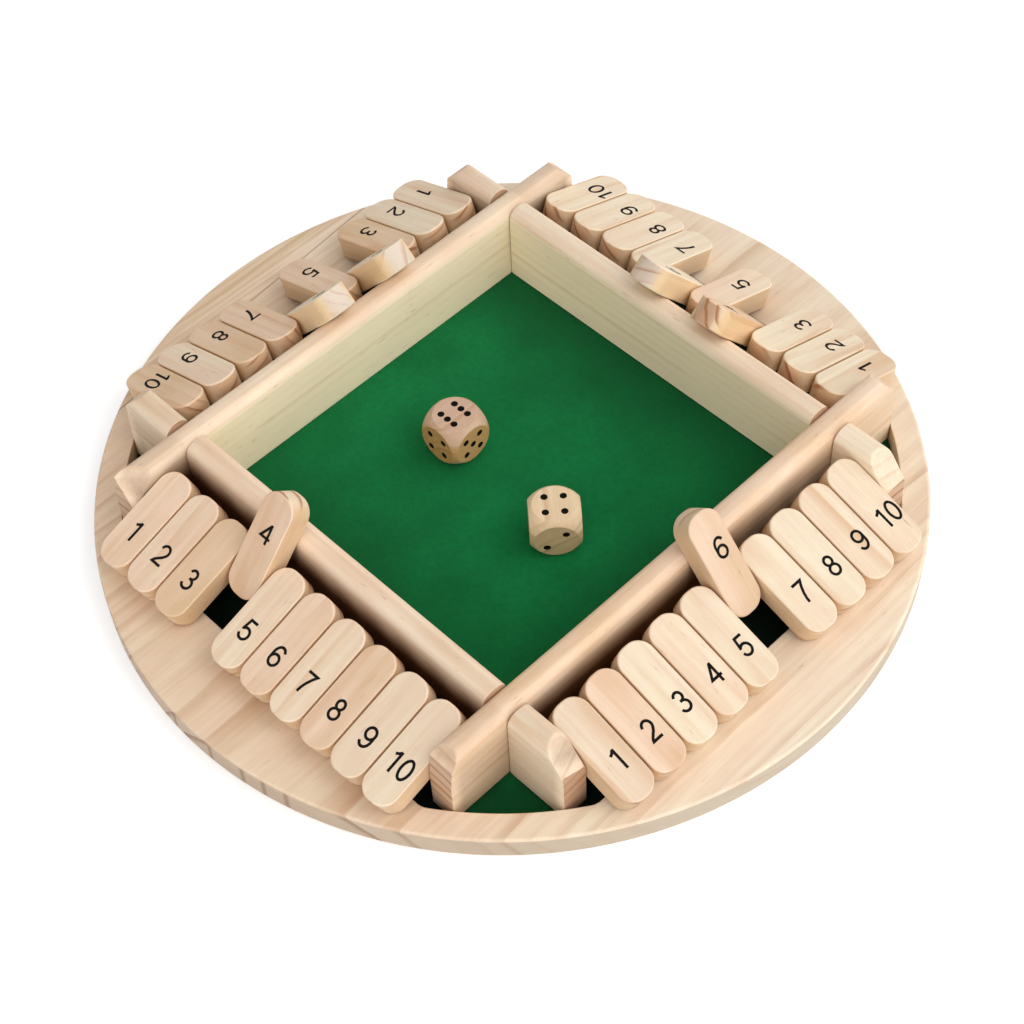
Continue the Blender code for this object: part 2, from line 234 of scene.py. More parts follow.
# Soft light, brightest from the right and the back
SKY_STRENGTH = 0.74
SKY_TILT = Vector((0.67, 0.42, 0.0))
KEY_SHARE = 0.16
KEY_PLACE = Vector((0.62, 0.25, 0.95))
KEY_SIZE = 0.70
FILL_SHARE = 0.22
FILL_PLACE = Vector((0.05, -0.85, 0.50))
FILL_SIZE = 0.70
FLOOR_HALF_SIZE = 3.0
FLOOR_GLOW = 0.42


# Mesh work


def take_up(piece):
    """Select one piece alone and make it active."""
    bpy.ops.object.select_all(action="DESELECT")
    piece.select_set(True)
    bpy.context.view_layer.objects.active = piece


def primitive(name, add, **settings):
    """Add one of Blender's primitive meshes, with its place in its points."""
    add(**settings)
    piece = bpy.context.object
    piece.name = name
    piece.data.name = name
    bpy.ops.object.transform_apply(location=True, rotation=True, scale=True)
    return piece


def block(name, low, high):
    """A block between two corners."""
    size = [high[axis] - low[axis] for axis in range(3)]
    centre = [(high[axis] + low[axis]) / 2 for axis in range(3)]
    return primitive(name, bpy.ops.mesh.primitive_cube_add, size=1.0, location=centre, scale=size)


def disc(name, radius, bottom, top):
    """An upright cylinder about the Z axis."""
    return primitive(name, bpy.ops.mesh.primitive_cylinder_add, vertices=DISC_SIDES, radius=radius,
                     depth=top - bottom, location=(0.0, 0.0, (bottom + top) / 2))


def bar(name, radius, start, end):
    """A round bar along X between two distances."""
    return primitive(name, bpy.ops.mesh.primitive_cylinder_add, vertices=BAR_SIDES, radius=radius,
                     depth=end - start, location=((start + end) / 2, 0.0, 0.0),
                     rotation=(0.0, math.pi / 2, 0.0))


def ball(name, radius, centre, segments):
    """A ball about a point."""
    return primitive(name, bpy.ops.mesh.primitive_uv_sphere_add, segments=segments,
                     ring_count=segments // 2, radius=radius, location=centre)


def round_edges(piece, rule, width, steps):
    """Bevel the edges that a rule accepts."""
    take_up(piece)
    bpy.ops.object.mode_set(mode="EDIT")
    bpy.ops.mesh.select_mode(type="EDGE")
    bpy.ops.mesh.select_all(action="DESELECT")
    shape = bmesh.from_edit_mesh(piece.data)
    for edge in shape.edges:
        edge.select_set(rule(edge))
    bmesh.update_edit_mesh(piece.data)
    bpy.ops.mesh.bevel(offset=width, segments=steps, affect="EDGES", clamp_overlap=True)
    bpy.ops.object.mode_set(mode="OBJECT")


def work_on_whole(piece, operator, **settings):
    """Run one of Blender's mesh operators on the whole of a piece."""
    take_up(piece)
    bpy.ops.object.mode_set(mode="EDIT")
    bpy.ops.mesh.select_all(action="SELECT")
    operator(**settings)
    bpy.ops.object.mode_set(mode="OBJECT")


def slice_off(piece, point, normal):
    """Cut a piece by a plane, drop what lies beyond it and close the cut."""
    work_on_whole(piece, bpy.ops.mesh.bisect, plane_co=point, plane_no=normal, use_fill=True,
                  clear_outer=True, threshold=SLICE_TOLERANCE)


def finish_with(piece, kind, **settings):
    """Add one modifier and apply it."""
    take_up(piece)
    modifier = piece.modifiers.new(kind.lower(), kind)
    for setting, value in settings.items():
        setattr(modifier, setting, value)
    bpy.ops.object.modifier_apply(modifier=modifier.name)


def cut_by(piece, cutter, operation="DIFFERENCE"):
    """Cut a piece by another, which is used up."""
    finish_with(piece, "BOOLEAN", operation=operation, solver="EXACT", object=cutter)
    bpy.data.objects.remove(cutter)


def shade(piece, degrees=35):
    """Smooth shading over the rounds, with the flat faces left flat."""
    take_up(piece)
    bpy.ops.object.shade_smooth_by_angle(angle=math.radians(degrees))
    finish_with(piece, "WEIGHTED_NORMAL", keep_sharp=True, weight=80)


def finish_in(piece, material):
    """Give a whole piece one material and its shading."""
    piece.data.materials.clear()
    piece.data.materials.append(material)
    shade(piece)


def copy_of(piece, name):
    """A copy with its own mesh."""
    twin = piece.copy()
    twin.data = piece.data.copy()
    twin.name = name
    twin.data.name = name
    bpy.context.collection.objects.link(twin)
    return twin


def runs_along(edge, axis):
    """Whether an edge runs along X, Y or Z, given as 0, 1 or 2."""
    run = edge.verts[0].co - edge.verts[1].co
    return abs(run[axis]) > 0.99 * run.length


def middle_of(edge):
    """The middle of an edge."""
    return (edge.verts[0].co + edge.verts[1].co) / 2


def crease(edge):
    """The angle between an edge's two faces, or 0 where it hasn't two."""
    return edge.calc_face_angle(0.0)


def level_at(edge, height, tolerance=0.01 * MM):
    """Whether both ends of an edge lie at a height."""
    return all(abs(corner.co.z - height) < tolerance for corner in edge.verts)


def ride_on(piece, body, slot, *nodes):
    """Let a finished piece stand for its solids and move with their body."""
    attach(piece, body)
    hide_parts(*nodes)


# Materials


class Recipe:
    """The node tree of a material or a world, built up by short calls that return sockets."""

    def __init__(self, name, library=bpy.data.materials, shader="Principled BSDF"):
        self.result = library.new(name)
        self.result.use_nodes = True
        self.tree = self.result.node_tree
        self.shader = self.tree.nodes[shader]

    def feed(self, socket, value):
        """Link a socket to another, or set its value."""
        if isinstance(value, bpy.types.NodeSocket):
            self.tree.links.new(value, socket)
        else:
            socket.default_value = value

    def node(self, kind, *values, **settings):
        """Add a node with its settings, and feed values to its first inputs in their order."""
        made = self.tree.nodes.new(kind)
        for setting, value in settings.items():
            setattr(made, setting, value)
        for socket, value in zip(made.inputs, values):
            self.feed(socket, value)
        return made

    def maths(self, operation, *values):
        return self.node("ShaderNodeMath", *values, operation=operation).outputs[0]

    def product(self, first, *others):
        for other in others:
            first = self.maths("MULTIPLY", first, other)
        return first

    def total(self, first, *others):
        for other in others:
            first = self.maths("ADD", first, other)
        return first

    def attribute(self, name):
        return self.node("ShaderNodeAttribute", attribute_name=name).outputs["Vector"]

    def place(self):
        return self.node("ShaderNodeTexCoord").outputs["Object"]

    def split(self, vector):
        return self.node("ShaderNodeSeparateXYZ", vector).outputs

    def noise(self, vector, stretch, detail=2.0, roughness=0.5):
        """Noise from 0 to 1, with so many bumps per metre, or so many along X, Y and Z."""
        stretch = (stretch,) * 3 if isinstance(stretch, float) else stretch
        place = self.node("ShaderNodeVectorMath", vector, stretch, operation="MULTIPLY").outputs[0]
        made = self.node("ShaderNodeTexNoise", place)
        for socket, value in (("Scale", 1.0), ("Detail", detail), ("Roughness", roughness)):
            made.inputs[socket].default_value = value
        return made.outputs[0]

    def chance(self, number):
        """A fixed random number from 0 to 1 for each whole number."""
        made = self.node("ShaderNodeTexWhiteNoise", noise_dimensions="1D")
        self.feed(made.inputs["W"], number)
        return made.outputs[0]

    def range(self, value, low, high, to_low=0.0, to_high=1.0, kind="LINEAR"):
        """Bring a value from one range to another, held at its ends."""
        return self.node("ShaderNodeMapRange", value, low, high, to_low, to_high,
                         interpolation_type=kind).outputs[0]

    def mix(self, share, one, other, blend_type="MIX"):
        """Mix two colours, each a socket or as it looks on screen, from 0 to 255."""
        made = self.node("ShaderNodeMix", share, data_type="RGBA", blend_type=blend_type)
        for socket, value in zip(made.inputs[6:8], (one, other)):
            self.feed(socket, screen_colour(*value) if isinstance(value, tuple) else value)
        return made.outputs[2]

    def reach(self, spot):
        """The larger and the smaller of a place's distances from the middle along X and Y."""
        sizes = self.node("ShaderNodeVectorMath", spot, operation="ABSOLUTE").outputs[0]
        across, along, _ = self.split(sizes)
        return self.maths("MAXIMUM", across, along), self.maths("MINIMUM", across, along)

    def well_share(self, spot, start, fade):
        """How far a place is out past a distance, and how far it is clear of the pockets."""
        outer, inner = self.reach(spot)
        well = self.range(outer, start, start + fade, kind="SMOOTHSTEP")
        row = self.range(inner, WELL_START - WELL_FADE, WELL_START, 1.0, 0.0, kind="SMOOTHSTEP")
        return well, row

    def seen(self):
        """1 for what the camera sees, also in a mirror or through glass, and 0 for other light."""
        rays = self.node("ShaderNodeLightPath").outputs
        direct = self.maths("MAXIMUM", rays["Is Camera Ray"], rays["Is Glossy Ray"])
        return self.maths("MAXIMUM", direct, rays["Is Transmission Ray"])

    def bump(self, height, strength, distance):
        made = self.node("ShaderNodeBump", strength, distance)
        self.feed(made.inputs["Height"], height)
        self.feed(self.shader.inputs["Normal"], made.outputs[0])

    def set(self, **values):
        """Set the shader's own sockets, with spaces in their names written as underscores."""
        for name, value in values.items():
            self.feed(self.shader.inputs[name.replace("_", " ")], value)

    def base_colour(self):
        """What the base colour is fed by so far."""
        return self.shader.inputs["Base Color"].links[0].from_socket


def screen_colour(red, green, blue):
    """A colour given as it looks on screen, as the renderer takes it."""
    linear = [((part / 255 + 0.055) / 1.055) ** 2.4 for part in (red, green, blue)]
    return (*linear, 1.0)


def pine(name, growth, straw, rose, tan, latewood, end_wood, end_lines, side_wood,
         ring_strength=0.45, side_share=0.7, fleck_share=0.5, end_strength=1.7,
         shaded_near_end_wood=None):
    """Solid pine that reads its place in the tree from the piece's timber attribute.

    Timber holds metres from the tree's heart across (X) and up (Z), and along the grain (Y).
    Each ring adds the same area of wood, the growth, so rings crowd together away from the
    heart. The end that faces back along Y may have its own colour, on the tiles a warmer painted
    shade.
    """
    wood = Recipe(name)
    timber = wood.attribute("timber")
    lightness, redness, contrast = wood.split(wood.attribute("tone"))
    end, eased, side = wood.split(wood.attribute("cut"))
    end_share = wood.maths("ABSOLUTE", end)

    drift = wood.noise(timber, (26.0, 6.0, 26.0))
    waver = wood.noise(timber, (170.0, 22.0, 170.0))
    across, _, up = wood.split(timber)
    shift = wood.total(wood.range(drift, 0.25, 0.75, -RING_DRIFT, RING_DRIFT),
                       wood.range(waver, 0.25, 0.75, -RING_WAVER, RING_WAVER))
    bent = wood.total(across, shift)
    area = wood.total(wood.product(bent, bent), wood.product(up, up))
    rings = wood.maths("DIVIDE", area, growth)
    ring = wood.maths("FLOOR", rings)
    season = wood.maths("FRACT", rings)
    rise = wood.range(season, 0.25, 0.92, kind="SMOOTHERSTEP")
    fall = wood.range(season, 0.92, 1.0, 1.0, 0.0, kind="SMOOTHSTEP")
    strong = wood.product(wood.maths("POWER", wood.chance(ring), 2.2), 1.35, contrast)
    fade = wood.range(wood.noise(timber, (70.0, 30.0, 70.0), 1.0), 0.35, 0.65, 0.15, 1.0)
    late = wood.product(rise, fall, strong, wood.product(fade, ring_strength))
    line = wood.product(wood.range(season, 0.6, 0.92, kind="SMOOTHSTEP"), fall,
                        wood.product(strong, end_strength * ring_strength))

    fibre = wood.noise(timber, (2600.0, 60.0, 2600.0), 2.0, 0.6)
    streak = wood.noise(timber, (430.0, 14.0, 430.0), 3.0, 0.6)
    cloud = wood.noise(timber, (75.0, 26.0, 75.0), 3.0, 0.6)
    reach = wood.noise(timber, (40.0, 9.0, 40.0), 1.0)
    dash = wood.noise(timber, (1500.0, 170.0, 1500.0), 1.0)

    blush = wood.total(redness, wood.range(cloud, 0.3, 0.7, -0.45, 0.45),
                       wood.range(reach, 0.3, 0.7, -0.25, 0.25))
    ground = wood.mix(blush, straw, rose)
    ground = wood.mix(wood.range(blush, 1.05, 2.05), ground, tan)
    ground = wood.mix(wood.range(streak, 0.4, 0.8, 0.0, 0.32), ground, latewood)
    body = wood.mix(late, ground, latewood)
    if callable(side_share):
        side_share = side_share(wood)
    # Painted light and shade in part: upright faces take a side wood set paler or darker than the
    # flat faces
    side_ground = wood.mix(wood.range(side, 1.0, 2.0), side_wood, (250, 213, 160))
    body = wood.mix(wood.product(wood.range(side, 0.0, 1.0), side_share), body,
                    wood.mix(wood.product(late, 0.45), side_ground, latewood))
    # Painted shade: the end that faces back along Y may take a warmer colour, the shaded near end
    # wood
    end_ground = wood.mix(wood.range(end, 0.0, -1.0), end_wood, shaded_near_end_wood or end_wood)
    end_ground = wood.mix(wood.range(redness, 0.0, -1.0), end_ground, (219, 207, 198))
    end_ground = wood.mix(wood.range(end_share, 1.0, 2.0), end_ground, end_lines)
    band = wood.range(wood.chance(wood.total(ring, 0.5)), 0.5, 1.0, 0.0, 0.3)
    end_ground = wood.mix(band, end_ground, end_lines)
    body = wood.mix(wood.range(end_share, 0.0, 1.0, 0.0, 0.85), body,
                    wood.mix(line, end_ground, end_lines))
    body = wood.mix(wood.range(dash, 0.70, 0.80, 0.0, fleck_share), body,
                    wood.mix(0.6, latewood, (150, 100, 66)))
    # Eased faces are paler: partly sanded wear, partly a painted highlight where the edges catch
    # light
    grey = wood.product(lightness, wood.range(fibre, 0.25, 0.75, 0.965, 1.025),
                        wood.range(cloud, 0.3, 0.7, 1.02, 0.97),
                        wood.range(eased, 0.0, 1.0, 1.0, 1.07))
    greys = wood.node("ShaderNodeCombineXYZ", grey, grey, grey).outputs[0]
    shaded = wood.mix(1.0, body, greys, "MULTIPLY")
    wood.bump(wood.total(wood.product(late, 0.6), fibre), 0.22, 0.10 * MM)
    wood.set(Base_Color=shaded, Roughness=wood.range(fibre, 0.2, 0.8, 0.52, 0.66),
             Specular_IOR_Level=0.32)
    return wood


def board_pine():
    """The board's pine: glued up, with a darker and streakier stave past a seam on the left, and
    painted shade towards the front and on the rim's left.
    """
    wood = pine(
        "board_pine", 1150 * MM ** 2, straw=(246, 230, 204), rose=(246, 221, 195),
        tan=(231, 196, 156), latewood=(202, 160, 122), end_wood=(221, 203, 182),
        end_lines=(166, 136, 110), side_wood=(206, 190, 168), ring_strength=0.62,
        side_share=0.85, fleck_share=0.3)
    spot = wood.place()
    x, y, _ = wood.split(spot)
    _, _, side = wood.split(wood.attribute("cut"))
    # Painted shade: the board browner towards the front, a little to the left, and its rim darker
    # on the left
    towards_back = wood.total(wood.product(x, 0.35), y)
    front_painted_shade = wood.range(towards_back, *BOARD_FRONT_SHADE, 0.0, 0.3)
    ground = wood.mix(front_painted_shade, wood.base_colour(), (222, 190, 160), "MULTIPLY")
    rim_shade = wood.product(side, wood.range(x, *LEFT_RIM, 0.0, 0.5))
    ground = wood.mix(rim_shade, ground, (224, 204, 184), "MULTIPLY")

    nearest = 1.0
    for joint in RIM_JOINTS:
        off_joint = wood.maths("ABSOLUTE", wood.maths("SUBTRACT", x, joint))
        nearest = wood.maths("MINIMUM", nearest, off_joint)
    mark_share = wood.product(side, wood.range(y, *FRONT_RIM, 0.0, 0.6),
                              wood.range(nearest, *RIM_JOINT, 1.0, 0.0))
    ground = wood.mix(mark_share, ground, (140, 108, 82))

    beyond = wood.total(wood.product(x, SEAM_NORMAL[0]), wood.product(y, SEAM_NORMAL[1]))
    stave = wood.range(beyond, *SEAM_EDGE)
    bands = wood.noise(spot, (330.0, 9.0, 60.0), 3.0, 0.65)
    band_share = wood.product(stave, wood.range(bands, 0.38, 0.62, 0.0, 0.75))
    ground = wood.mix(band_share, ground, (204, 170, 132))
    off_line = wood.maths("ABSOLUTE", wood.maths("SUBTRACT", beyond, SEAM_DISTANCE))
    line_share = wood.range(off_line, *SEAM_LINE, 0.6, 0.0)
    wood.set(Base_Color=wood.mix(line_share, ground, (150, 112, 80)))
    return wood.result


def pit_side_share(wood):
    """How far the rails' upright faces differ from the rest, as painted light: much in the pit,
    little outside.
    """
    outer, _ = wood.reach(wood.place())
    return wood.range(outer, *PIT_SIDE, 0.95, 0.2)


def rail_pine():
    """The rails' pine, with painted shade, a brown in the wells beside the tiles, less at the back
    on the right.
    """
    wood = pine(
        "rail_pine", 640 * MM ** 2, straw=(242, 226, 200), rose=(241, 213, 186),
        tan=(230, 193, 150), latewood=(206, 158, 112), end_wood=(212, 178, 150),
        end_lines=(160, 104, 62), side_wood=(255, 238, 204), ring_strength=0.62,
        side_share=pit_side_share, end_strength=2.6)
    spot = wood.place()
    # Painted shade: brown on the rails' faces in the wells, deeper further down
    well, row = wood.well_share(spot, WELL_START - RAIL_SHADE_LEAD, RAIL_SHADE_FADE)
    x, y, height = wood.split(spot)
    depth = wood.range(height, *RAIL_SHADE_HEIGHTS, 0.1, 1.0)
    outer, _ = wood.reach(spot)
    shade_short_of_end = wood.range(outer, *RAIL_SHADE_END, 1.0, 0.0)
    open_corner = wood.range(wood.total(x, y), *RAIL_OPEN_CORNER, 1.0, 0.0)
    share = wood.product(well, row, depth, wood.product(shade_short_of_end, open_corner))
    wood.set(Base_Color=wood.mix(share, wood.base_colour(), (118, 82, 56), "MULTIPLY"))
    return wood.result


def tile_pine():
    """The tiles' pine, with painted shade, a brown towards the foot of their rod ends, down in the
    wells.
    """
    wood = pine(
        "tile_pine", 560 * MM ** 2, straw=(243, 227, 199), rose=(243, 213, 186),
        tan=(232, 199, 160), latewood=(214, 164, 118), end_wood=(242, 220, 190),
        end_lines=(168, 104, 66), side_wood=(226, 190, 146), ring_strength=0.55,
        fleck_share=0.4, end_strength=2.2, shaded_near_end_wood=(240, 197, 154))
    # Painted shade: brown towards the foot of the rod ends, down in the wells
    _, _, height = wood.split(wood.place())
    end, _, _ = wood.split(wood.attribute("cut"))
    depth = wood.range(height, *TILE_END_SHADE_HEIGHTS)
    share = wood.product(wood.range(end, 0.0, -1.0), depth)
    wood.set(Base_Color=wood.mix(share, wood.base_colour(), (194, 174, 163), "MULTIPLY"))
    return wood.result


def felt():
    """Dyed green felt: matted fibres, soft clouds, a faint sheen and painted shade in the wells
    and by the walls.
    """
    cloth = Recipe("green_felt")
    spot = cloth.place()
    fuzz = cloth.noise(spot, 1700.0, 3.0, 0.7)
    tufts = cloth.noise(spot, 420.0, 3.0, 0.6)
    clouds = cloth.noise(spot, 38.0, 3.0, 0.55)
    ground = cloth.mix(cloth.range(clouds, 0.3, 0.7), (3, 101, 50), (9, 121, 63))
    ground = cloth.mix(cloth.range(tufts, 0.3, 0.72, 0.0, 0.5), ground, (3, 88, 43))
    ground = cloth.mix(cloth.range(fuzz, 0.45, 0.8, 0.0, 0.5), ground, (20, 135, 75))
    # Painted shade: a deeper green towards the pit's walls on the right, the front and the back
    x, y, _ = cloth.split(spot)
    out = cloth.maths("MAXIMUM", x, cloth.maths("ABSOLUTE", y))
    shaded = cloth.range(out, *PIT_SHADE, 0.0, 0.6, kind="SMOOTHSTEP")
    ground = cloth.mix(shaded, ground, (1, 70, 33))
    # Painted shade: the felt in the wells under the tiles is almost black, less so in the corner
    # pockets
    well, row = cloth.well_share(spot, WELL_START, WELL_FADE)
    well_painted_shade = cloth.product(well, cloth.range(row, 0.0, 1.0, 0.4, 1.0))
    ground = cloth.mix(well_painted_shade, ground, (3, 26, 14))
    cloth.bump(cloth.total(fuzz, tufts), 0.5, 0.25 * MM)
    cloth.set(Base_Color=ground, Roughness=0.95, Specular_IOR_Level=0.12, Sheen_Weight=0.08,
              Sheen_Roughness=0.5)
    return cloth.result


def uneven_black(name, bumps, detail, spread, dark, light, roughness, specular):
    """A black that is a little uneven: the numbers' ink and the paint in the dice's spots."""
    paint = Recipe(name)
    patch = paint.range(paint.noise(paint.place(), bumps, detail, 0.6), *spread)
    paint.set(Base_Color=paint.mix(patch, dark, light), Roughness=roughness,
              Specular_IOR_Level=specular)
    return paint.result


def fibreboard():
    """The thin base: pressed brown fibres."""
    sheet = Recipe("fibreboard_base")
    spot = sheet.place()
    fibres = sheet.noise(spot, 900.0, 4.0, 0.7)
    clouds = sheet.noise(spot, 60.0)
    ground = sheet.mix(sheet.range(clouds, 0.3, 0.7), (168, 132, 94), (182, 146, 108))
    ground = sheet.mix(sheet.range(fibres, 0.45, 0.75, 0.0, 0.7), ground, (134, 100, 68))
    sheet.bump(fibres, 0.3, 0.1 * MM)
    sheet.set(Base_Color=ground, Roughness=0.8, Specular_IOR_Level=0.2)
    return sheet.result


def steel():
    """Drawn steel rod with fine lines around it."""
    metal = Recipe("rod_steel")
    lines = metal.noise(metal.place(), (700.0, 700.0, 2400.0))
    metal.set(Base_Color=metal.mix(lines, (176, 176, 174), (205, 205, 202)),
              Metallic=1.0, Roughness=metal.range(lines, 0.2, 0.8, 0.26, 0.4))
    return metal.result


BOARD_PINE = board_pine()
RAIL_PINE = rail_pine()
TILE_PINE = tile_pine()
DICE_WOODS = {
    "die_a": pine(
        "rosy_dice_wood", 120 * MM ** 2, straw=(214, 184, 154), rose=(208, 174, 150),
        tan=(202, 160, 122), latewood=(182, 132, 92), end_wood=(196, 152, 96),
        end_lines=(158, 112, 66), side_wood=(200, 156, 94), side_share=0.85).result,
    "die_b": pine(
        "pale_dice_wood", 150 * MM ** 2, straw=(236, 210, 172), rose=(228, 198, 164),
        tan=(220, 184, 142), latewood=(198, 156, 116), end_wood=(206, 178, 140),
        end_lines=(170, 138, 100), side_wood=(200, 172, 130), side_share=0.8).result,
}
GREEN_FELT = felt()
NUMBER_INK = uneven_black(
    "number_ink", 900.0, 3.0, (0.3, 0.7), (9, 8, 8), (26, 23, 21), 0.75, 0.12)
PIP_PAINT = uneven_black(
    "pip_paint", 1500.0, 2.0, (0.0, 1.0), (3, 3, 3), (13, 11, 11), 0.7, 0.1)
BASE_FIBREBOARD = fibreboard()
ROD_STEEL = steel()


# How squarely a face looks along the grain where end wood starts and what more makes it full,
# and how squarely it looks up or down where a side ends and a flat starts
END_START = 0.6
END_SPAN = 0.35
SIDE_LIMIT = 0.3
FLAT_LIMIT = 0.97


def season_timber(piece, tone, heart, seed, ends=1.0, edges=1.0, sides=1.0, facets=1.0):
    """Write where each point of a piece lay in its tree, with the grain along the piece's Y.

    Heart is the tree's middle, seen from the piece's own middle line, across and up. Ends past
    1 brown the end grain, facets past 1 brown it where it slopes, edges is how much paler the
    turned and sanded edges are, as wear and as a painted highlight, and sides past 1 make the
    upright sides paler. The cut of the end that faces -Y is below 0.
    """
    chance = random.Random(seed)
    shift = Vector((-heart[0], chance.uniform(0.0, 9.0), -heart[1]))
    mesh = piece.data
    timber = mesh.attributes.new("timber", "FLOAT_VECTOR", "POINT")
    tones = mesh.attributes.new("tone", "FLOAT_VECTOR", "POINT")
    for index, corner in enumerate(mesh.vertices):
        timber.data[index].vector = corner.co + shift
        tones.data[index].vector = tone
    cuts = mesh.attributes.new("cut", "FLOAT_VECTOR", "FACE")
    for index, face in enumerate(mesh.polygons):
        end_share = ends * min(1.0, max(0.0, (abs(face.normal.y) - END_START) / END_SPAN))
        end_share = math.copysign(end_share, face.normal.y)
        steep = abs(face.normal.z)
        if steep > SIDE_LIMIT:
            end_share *= facets
        eased = edges if SIDE_LIMIT < steep < FLAT_LIMIT else 0.0
        side = sides if steep <= SIDE_LIMIT else 0.0
        cuts.data[index].vector = (end_share, eased, side)


# Board, base and felt


def opening_plug(name, margin, bottom, top):
    """A solid that fills the board's opening, grown by a margin: a disc with four flat sides."""
    plug = disc(name, OPENING_RADIUS + margin, bottom, top)
    reach = OPENING_HALF_WIDTH + margin
    for x, y in ((1, 0), (0, 1), (-1, 0), (0, -1)):
        side = Vector((x, y, 0))
        slice_off(plug, side * reach, side)
    turn = math.acos(OPENING_HALF_WIDTH / OPENING_RADIUS)
    tangent = OPENING_CORNER_ROUND * math.tan(turn / 2)
    round_edges(plug, lambda edge: runs_along(edge, 2) and crease(edge) > turn / 2, tangent, 5)
    return plug


def make_board():
    """The ring board with its rounded rim and the opening's eased edge."""
    board = disc("pine_board", BOARD_RADIUS, BOARD_LOW.z, BOARD_HIGH.z)
    round_edges(board, lambda edge: crease(edge) > SQUARE_EDGE, BOARD_EDGE_ROUND, 4)
    cut_by(board, opening_plug("opening_cut", 0.0, -OVERRUN, BOARD_HIGH.z + OVERRUN))
    cut_by(board, disc("base_seat_cut", BASE_RADIUS + SEAT_GAP, -OVERRUN, BASE_HIGH.z + SEAT_GAP))
    inside = BOARD_RADIUS - 2 * BOARD_EDGE_ROUND

    def opening_edge(edge):
        near = middle_of(edge).xy.length < inside
        return near and level_at(edge, BOARD_HIGH.z) and crease(edge) > SQUARE_EDGE

    round_edges(board, opening_edge, OPENING_EDGE_EASE, 3)
    season_timber(board, (1.0, 0.5, 1.0), BOARD_HEART, BOARD_SEED)
    finish_in(board, BOARD_PINE)
    ride_on(board, "board", "board_pine", "ring_board")


def make_base():
    """The thin base let into the underside."""
    base = disc("fibreboard_disc", BASE_RADIUS, BASE_LOW.z, BASE_HIGH.z)
    round_edges(base, lambda edge: level_at(edge, BASE_LOW.z) and crease(edge) > SQUARE_EDGE,
                BASE_EDGE_EASE, 2)
    finish_in(base, BASE_FIBREBOARD)
    ride_on(base, "board", "fibreboard", "base_board")


def make_felt():
    """The felt lining of the whole opening."""
    lining = opening_plug("felt_lining", -SEAT_GAP, FELT_LOW.z, FELT_HIGH.z)
    round_edges(lining, lambda edge: level_at(edge, FELT_HIGH.z) and crease(edge) > SQUARE_EDGE,
                FELT_EDGE_EASE, 2)
    finish_in(lining, GREEN_FELT)
    ride_on(lining, "board", "green_felt", "felt_mat")


# Rails and rods


def rail_blank(name, start, end):
    """A rail along Y with a rounded crown, from its foot to its top."""
    half = RAIL_THICKNESS / 2
    rail = block(name, (-half, start, LONG_RAIL_LOW.z), (half, end, RAIL_TOP))
    round_edges(rail, lambda edge: level_at(edge, RAIL_TOP) and runs_along(edge, 1),
                RAIL_CROWN_RADIUS, CROWN_STEPS)
    return rail


# How deep a rail's end is sanded off on its two sides, and how far along its crown
PLAIN_FACET = (RAIL_END_CHAMFER, RAIL_END_CHAMFER, RAIL_END_CHAMFER)
DEEP_FACET_ROUND = 1.0 * MM
DEEP_FACET_EDGE_GAP = 0.4 * MM
LEFT_RAIL_FACET = (4.0 * MM, 13.0 * MM, 8.0 * MM)


def sand_end(rail, direction, facet=PLAIN_FACET):
    """Lean the free end back a little and sand a facet off it at the crown."""
    end = RAIL_END - RAIL_END_LEAN
    foot = Vector((0.0, direction * end, RAIL_TOP - RAIL_END_CHAMFER))
    slice_off(rail, foot, Vector((0.0, direction * RAIL_END_LEAN_HEIGHT, RAIL_END_LEAN)))
    half = RAIL_THICKNESS / 2
    one = Vector((-half, direction * end, RAIL_TOP - facet[0]))
    other = Vector((half, direction * end, RAIL_TOP - facet[1]))
    crown = Vector((0.0, direction * (end - facet[2]), RAIL_TOP))
    normal = (other - one).cross(crown - one).normalized()
    normal = normal if normal.z > 0 else -normal
    slice_off(rail, one, normal)
    if facet is PLAIN_FACET:
        return

    def crown_line(edge):
        sanded = any(face.normal.dot(normal) > 0.9999 for face in edge.link_faces)
        return sanded and direction * middle_of(edge).y < end - DEEP_FACET_EDGE_GAP

    round_edges(rail, crown_line, DEEP_FACET_ROUND, 4)


def drill_socket(rail, along, inner_side):
    """A blind socket for a rod's end, across the rail's inner side."""
    depth = ROD_HALF_LENGTH + SOCKET_CLEARANCE - LONG_RAIL_LOW.x
    face = inner_side * RAIL_THICKNESS / 2
    start, end = sorted((face - inner_side * depth, face + inner_side * OVERRUN))
    drill = bar("socket_cut", ROD_RADIUS + SOCKET_CLEARANCE, start, end)
    drill.data.transform(Matrix.Translation((0.0, along, ROD_HEIGHT)))
    cut_by(rail, drill)


def finish_rail(rail, place, tone, heart, seed, node, ends=1.0, facets=1.0):
    """Ease a rail's sharp edges, give it its wood and stand it in its place."""
    round_edges(rail, lambda edge: crease(edge) > SHARP_EDGE, RAIL_EDGE_EASE, 2)
    season_timber(rail, tone, heart, seed, ends, facets=facets)
    finish_in(rail, RAIL_PINE)
    rail.data.transform(place)
    ride_on(rail, "board", "rail_pine", node)


# Each stub's tone, how brown its end and its facet are, and the facet at its crown
STUB_WOODS = {
    "front_left": ((1.02, 0.6, 1.2), 1.2, 1.0, PLAIN_FACET),
    "front_right": ((1.06, 0.3, 1.2), 1.6, 0.7, (12.0 * MM, 8.5 * MM, 9.0 * MM)),
    "back_left": ((1.02, 0.6, 1.2), 1.2, 1.0, PLAIN_FACET),
    "back_right": ((1.08, 0.1, 1.1), 1.0, 0.65, (11.0 * MM, 12.0 * MM, 9.0 * MM)),
}


